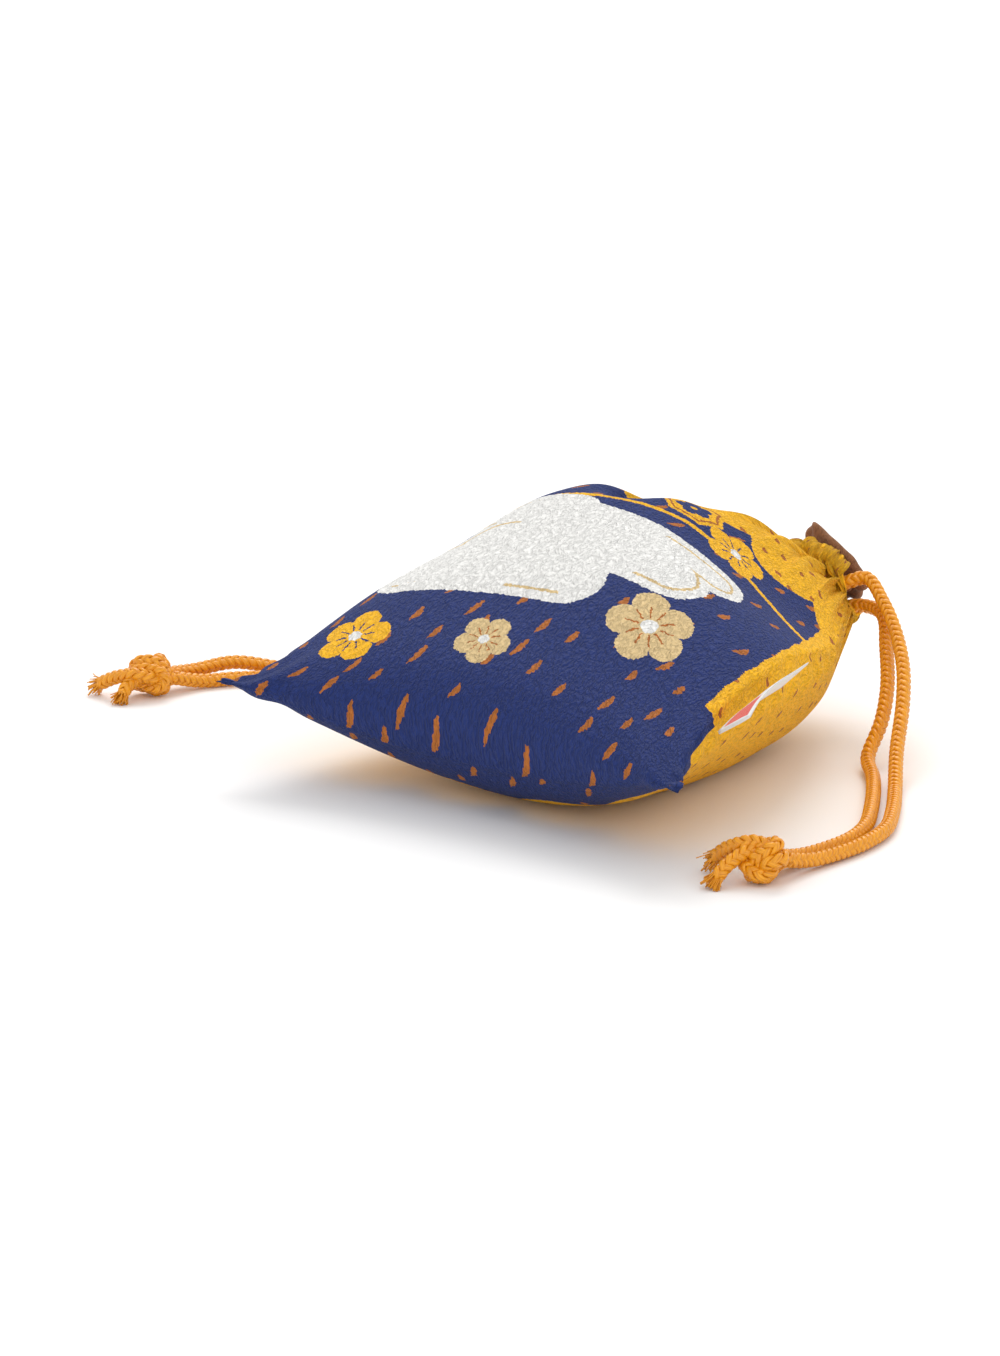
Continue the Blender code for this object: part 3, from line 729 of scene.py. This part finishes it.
def makeStrokes():  # short scattered brush strokes, one to a cell
    group, takes, gives = newGroup("strokes", {"Cloth": None, "Cell": 9.0, "Turn": 0.6, "Long": 0.3,
                                               "Wide": 0.09}, "Stroke")
    turned = addNode(group, "ShaderNodeVectorRotate", {"rotation_type": "Z_AXIS"}, Vector=takes["Cloth"],
                     Angle=takes["Turn"])
    scaled = addNode(group, "ShaderNodeVectorMath", {"operation": "SCALE"}, Vector=turned.outputs[0],
                     Scale=calc(group, "DIVIDE", 1.0, takes["Cell"])).outputs[0]
    cells = addNode(group, "ShaderNodeTexVoronoi", {"voronoi_dimensions": "2D"}, Vector=scaled, Scale=1.0,
                    Randomness=0.55)
    off = addNode(group, "ShaderNodeVectorMath", {"operation": "SUBTRACT"})
    feed(group, off.inputs[0], scaled)
    feed(group, off.inputs[1], cells.outputs["Position"])
    parts = addNode(group, "ShaderNodeSeparateXYZ", Vector=off.outputs[0])
    luck = addNode(group, "ShaderNodeSeparateColor", Color=cells.outputs["Color"])
    uneven = calc(group, "ADD", 0.55, calc(group, "MULTIPLY", luck.outputs[0], 0.6))
    along = calc(group, "DIVIDE", parts.outputs[1], calc(group, "MULTIPLY", takes["Long"], uneven))
    square = calc(group, "MULTIPLY", along, along)
    bowed = calc(group, "ADD", parts.outputs[0], calc(group, "MULTIPLY", square, 0.05))
    side = calc(group, "DIVIDE", bowed, takes["Wide"])
    lean = calc(group, "ADD", calc(group, "SUBTRACT", 1.0, square), calc(group, "MULTIPLY", along, 0.35))
    inside = calc(group, "LESS_THAN", calc(group, "ABSOLUTE", side), lean)
    held = calc(group, "LESS_THAN", calc(group, "ABSOLUTE", along), 1.0)
    shown = calc(group, "GREATER_THAN", luck.outputs[1], 0.22)
    feed(group, gives["Stroke"], calc(group, "MULTIPLY", inside, calc(group, "MULTIPLY", held, shown)))
    return group


# the printed picture, millimetres on the flat cloth from the middle of the fold
picture = {
    "grass": {"Cell": 9.5, "Turn": 0.5, "Long": 0.34, "Wide": 0.085},
    "seeds": {"Cell": 7.5, "Turn": 1.9, "Long": 0.2, "Wide": 0.10},
    "goldFrom": 108.0, "goldBack": -24.0, "scallop": (0.125, 9.0), "sidePanel": (57.0, 30.0),
    "stream": {"level": 83, "high": 4.5, "long": 16.0, "half": 0.9},
    "mist": ((-34, 8, 45, 8.5), (-44, -16, 54, 8.0), (-24, 26, 60, 10.0), (-6, 34, 70, 7.5),
             (-30, -8, 73, 7.0)),  # left, right, height, radius
    "contour": {"inward": 3.2, "half": 0.42},
    "blossoms": ((33, 40, 11.0, 0.4), (-38, 21, 9.0, 1.1), (-4, 22, 7.5, 0.2), (30, 92, 9.0, 0.9),
                 (-28, 91, 7.5, 0.1)),  # across, up, radius, turn
    "crest": {"across": 14, "up": 98, "radius": 8.0},
}


def paintPicture(tree, cloth):
    ragged = stray(tree, cloth, 1.3, 1.3)
    parts = addNode(tree, "ShaderNodeSeparateXYZ", Vector=ragged)
    x, y = parts.outputs[0], parts.outputs[1]
    # navy ground with strokes of caramel
    strokes = makeStrokes()
    grass = useGroup(tree, strokes, Cloth=ragged, **picture["grass"])
    colour = dye(tree, grass.outputs[0], dyes["navy"], dyes["caramel"])
    # gold above a scalloped line, down the side seams and on the back
    often, high = picture["scallop"]
    wave = calc(tree, "ABSOLUTE", calc(tree, "SINE", calc(tree, "MULTIPLY", x, often)))
    wave = calc(tree, "MULTIPLY", wave, high)
    above = calc(tree, "GREATER_THAN", calc(tree, "ADD", y, wave), picture["goldFrom"])
    lower = calc(tree, "SUBTRACT", y, calc(tree, "MULTIPLY", wave, 0.6))
    behind = calc(tree, "LESS_THAN", lower, picture["goldBack"])
    beside, start = picture["sidePanel"]
    sides = calc(tree, "MULTIPLY", calc(tree, "GREATER_THAN", calc(tree, "ABSOLUTE", x), beside),
                 calc(tree, "GREATER_THAN", y, start))
    goldArea = calc(tree, "MAXIMUM", calc(tree, "MAXIMUM", above, behind), sides)
    seeds = useGroup(tree, strokes, Cloth=ragged, **picture["seeds"])
    goldCloth = dye(tree, seeds.outputs[0], dyes["gold"], dyes["caramel"])
    colour = dye(tree, goldArea, colour, goldCloth)
    # a stream line
    stream = picture["stream"]
    bend = calc(tree, "MULTIPLY", calc(tree, "SINE", calc(tree, "DIVIDE", x, stream["long"])), stream["high"])
    offLine = calc(tree, "SUBTRACT", calc(tree, "SUBTRACT", y, stream["level"]), bend)
    onLine = calc(tree, "LESS_THAN", calc(tree, "ABSOLUTE", offLine), stream["half"])
    colour = dye(tree, onLine, colour, dyes["gold"])
    # a bank of mist with broken contour lines
    capsule = makeCapsule()
    outside = None
    for left, right, high, radius in picture["mist"]:
        one = useGroup(tree, capsule, X=x, Y=y, Left=left, Right=right, Level=high, Radius=radius).outputs[0]
        outside = one if outside is None else calc(tree, "MINIMUM", outside, one)
    colour = dye(tree, calc(tree, "LESS_THAN", outside, 0.0), colour, dyes["white"])
    broken = addNode(tree, "ShaderNodeTexNoise", Vector=cloth, Scale=0.045, Detail=0.0)
    ring = calc(tree, "ABSOLUTE", calc(tree, "ADD", outside, picture["contour"]["inward"]))
    ring = calc(tree, "LESS_THAN", ring, picture["contour"]["half"])
    ring = calc(tree, "MULTIPLY", ring, calc(tree, "GREATER_THAN", broken.outputs["Fac"], 0.49))
    colour = dye(tree, ring, colour, dyes["tan"])
    # flowers
    blossom = makeBlossom()
    for number, (across, up, radius, turn) in enumerate(picture["blossoms"]):
        one = useGroup(tree, blossom, X=x, Y=y, Across=across, Up=up, Radius=radius, Turn=turn)
        petals, lines = (dyes["tan"], dyes["caramel"]) if number % 2 == 0 else (dyes["gold"], dyes["navy"])
        colour = dye(tree, one.outputs["Petals"], colour, petals)
        colour = dye(tree, one.outputs["Lines"], colour, lines)
        colour = dye(tree, one.outputs["Heart"], colour, dyes["white"])
    # a six-sided crest
    across, up, radius = (picture["crest"][key] for key in ("across", "up", "radius"))
    ax = calc(tree, "ABSOLUTE", calc(tree, "SUBTRACT", x, across))
    ay = calc(tree, "ABSOLUTE", calc(tree, "SUBTRACT", y, up))
    slant = calc(tree, "ADD", calc(tree, "MULTIPLY", ax, 0.866), calc(tree, "MULTIPLY", ay, 0.5))
    edge = calc(tree, "SUBTRACT", calc(tree, "MAXIMUM", slant, ay), radius)
    outline = calc(tree, "LESS_THAN", calc(tree, "ABSOLUTE", calc(tree, "ADD", edge, 1.6)), 0.35)
    colour = dye(tree, calc(tree, "LESS_THAN", edge, 0.0), colour, dyes["gold"])
    colour = dye(tree, outline, colour, dyes["caramel"])
    one = useGroup(tree, blossom, X=x, Y=y, Across=across, Up=up, Radius=radius * 0.62, Turn=0.3)
    colour = dye(tree, one.outputs["Petals"], colour, dyes["navy"])
    return dye(tree, one.outputs["Heart"], colour, dyes["gold"])


# bumps the cloth with its crepe wrinkles and paints shade into its colour in their valleys
def addGrainAndPaintedShade(tree, shader, cloth, colour, grainAndShade, strength):
    height = useGroup(tree, grainAndShade, Cloth=cloth, Wide=strength["wide"], Long=strength["long"])
    # painted shade: the colour is darkened by up to the given amount where the wrinkle valleys lie
    paintedValleyShade = calc(tree, "SUBTRACT", 1.0, calc(tree, "MULTIPLY", height.outputs["ValleyShade"], strength["paintedValleyShade"]))
    shade = addNode(tree, "ShaderNodeCombineColor", Red=paintedValleyShade, Green=paintedValleyShade, Blue=paintedValleyShade)
    bump = addNode(tree, "ShaderNodeBump", Strength=strength["bump"], Distance=strength["high"] * mm,
                   Height=height.outputs["Height"])
    feed(tree, shader.inputs["Base Color"], dye(tree, 1.0, colour, shade.outputs[0], "MULTIPLY"))
    feed(tree, shader.inputs["Normal"], bump.outputs[0])


# crepe wrinkle settings; one of them sets how much shade is painted into the colour in the valleys
crepe = {"wide": 0.48, "long": 0.95, "paintedValleyShade": 0.24, "bump": 1.0, "high": 0.44}


def makeCrepe(grainAndShade):
    made, tree, shader = newMaterial("printedCrepe")
    cloth = clothMillimetres(tree, "cloth")
    addGrainAndPaintedShade(tree, shader, cloth, paintPicture(tree, cloth), grainAndShade, crepe)
    setSockets(shader, Roughness=0.8, Sheen_Weight=0.03, Sheen_Roughness=0.5, Specular_IOR_Level=0.2)
    return made


grainAndShadeGroup = makeCrepeGrainAndShadeMask()
finishPiece(bagPiece, makeCrepe(grainAndShadeGroup))
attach(bagPiece, "root")
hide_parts("outer_cloth")
print("the bag is printed")

# the lining shows inside the mouth, in an ear above it and in the slit between the cord's ends
lining = {
    "around": 200, "upward": 44, "length": 16.0, "thick": 0.9, "earAt": 136, "ear": 4.6,
    "depth": ((0, 1.0), (3, 3.8), (6, 6.6), (8, 7.0), (10, 7.6), (11.5, 8.6), (13, 9.2), (14, 9.0),
              (16, 7.6)),
    "wide": ((0, 4.0), (3, 4.3), (6, 4.6), (8, 6.3), (10, 7.9), (11.5, 8.3), (13, 7.4), (14, 6.4),
             (16, 5.0)),
    "dull": (0.22, 0.095, 0.045, 1), "warm": (0.36, 0.17, 0.085, 1),
    # the lining's wrinkles also get painted shade in their valleys
    "grainAndShade": {"wide": 0.3, "long": 0.5, "paintedValleyShade": 0.35, "bump": 0.6, "high": 0.12},
}


def makeLining():
    nu, nv = lining["around"], lining["upward"]
    work, layer, flat = layGrid(nu, nv, "cloth")
    angle = flat[:, 0] * math.pi
    run = (flat[:, 1] + 1) / 2 * lining["length"]
    depth = readCurve(lining["depth"], run)
    wide = readCurve(lining["wide"], run)
    gather = np.sin(11 * angle + 1.2 * np.sin(2 * angle)) * (0.18 + 0.05 * run)
    turned = (angle - math.radians(lining["earAt"]) + math.pi) % (2 * math.pi) - math.pi
    ear = hump(turned, 0, 0.8) * ease(6.5, 9.5, run) * (1 - 0.45 * ease(12.5, 16.0, run)) * lining["ear"]
    slit = hump(run, 3.6, 2.6) * (3.0 * hump(angle, 0, 0.36) + 1.2 * hump(np.abs(angle), math.pi, 0.3))
    points = neckSurface(angle, depth + ear * 0.75 - 0.25 * gather, wide + gather * 0.5 + slit,
                         wide * 1.1 + gather * 0.5 + ear * 0.75, wide * 0.84 + gather * 0.5)
    shapeGrid(work, layer, points, np.stack((flat[:, 0] * 0.45, run / 100), 1))
    sewGrid(work, 0.01 * mm)
    return thicken("lining_mouth", work, lining["thick"], -1)


def makeLiningCloth(grainAndShade):
    made, tree, shader = newMaterial("brownLining")
    cloth = clothMillimetres(tree, "cloth")
    uneven = addNode(tree, "ShaderNodeTexNoise", Vector=cloth, Scale=0.6, Detail=3.0)
    brown = dye(tree, uneven.outputs["Fac"], lining["dull"], lining["warm"])
    addGrainAndPaintedShade(tree, shader, cloth, brown, grainAndShade, lining["grainAndShade"])
    setSockets(shader, Roughness=0.85, Sheen_Weight=0.1, Sheen_Roughness=0.5, Specular_IOR_Level=0.2)
    return made


liningPiece = makeLining()
finishPiece(liningPiece, makeLiningCloth(grainAndShadeGroup))
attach(liningPiece, "root")
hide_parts("lining_cloth")
print("the lining is in")

# a woven ribbon folded in half and caught in the right seam
tag = {"length": 30.0, "reach": 9.0, "from": 0.215, "span": 0.225, "tilt": 43.0, "droop": 12.0, "thick": 0.35,
       "across": 40, "upward": 30, "threads": (21.0, 27.0), "fieldAlong": (1.0, 9.5),
       "fieldAcross": (1.1, 8.0)}


def makeTag():
    work, layer, flat = layGrid(tag["across"], tag["upward"], "ribbon")
    u = (flat[:, 0] + 1) / 2
    v = flat[:, 1]
    root = bodySurface(np.ones_like(u), tag["from"] + u * tag["span"], np.ones_like(u))
    tilt = np.radians(tag["tilt"] - tag["droop"] * (1 - u) ** 2)
    out = tag["reach"] * (1 - v ** 2) ** 0.5 * 0.06 + (1 - np.abs(v)) * tag["reach"] * 0.94 - 0.6
    apart = 0.2 * np.sign(v) * np.minimum(np.abs(v) * 3.2, 1) * (0.55 + 0.45 * np.sin(3 * u + 0.4))
    curl = 0.3 * np.sin(u * 5.5) * (1 - np.abs(v)) ** 1.5
    across = out + 0.2
    points = root + np.stack((across * np.cos(tilt) - (apart + curl) * np.sin(tilt), 0 * u,
                              across * np.sin(tilt) + (apart + curl) * np.cos(tilt)), 1)
    shapeGrid(work, layer, points, np.stack((u * tag["length"] / 100, v * tag["reach"] / 100), 1))
    bmesh.ops.recalc_face_normals(work, faces=work.faces)
    return thicken("seam_ribbon", work, tag["thick"], 0)


def makeRibbon():
    made, tree, shader = newMaterial("wovenRibbon")
    ribbon = clothMillimetres(tree, "ribbon")
    parts = addNode(tree, "ShaderNodeSeparateXYZ", Vector=ribbon)
    along, across = parts.outputs[0], parts.outputs[1]
    warp, weft = (calc(tree, "SINE", calc(tree, "MULTIPLY", way, often))
                  for way, often in zip((along, across), tag["threads"]))
    weave = calc(tree, "MULTIPLY", warp, weft)
    near = within(tree, along, *tag["fieldAlong"])
    middle = within(tree, calc(tree, "ABSOLUTE", across), *tag["fieldAcross"])
    uneven = addNode(tree, "ShaderNodeTexNoise", Vector=ribbon, Scale=0.5, Detail=3.0)
    white = dye(tree, uneven.outputs["Fac"], (0.74, 0.72, 0.70, 1), (0.86, 0.85, 0.83, 1))
    colour = dye(tree, calc(tree, "MULTIPLY", near, middle), white, dyes["red"])
    bump = addNode(tree, "ShaderNodeBump", Strength=0.5, Distance=0.05 * mm, Height=weave)
    feed(tree, shader.inputs["Base Color"], colour)
    feed(tree, shader.inputs["Normal"], bump.outputs[0])
    setSockets(shader, Roughness=0.5, Sheen_Weight=0.2, Anisotropic=0.3)
    return made


tagPiece = makeTag()
finishPiece(tagPiece, makeRibbon())
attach(tagPiece, "root")
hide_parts("side_tag")
print("the ribbon is on")
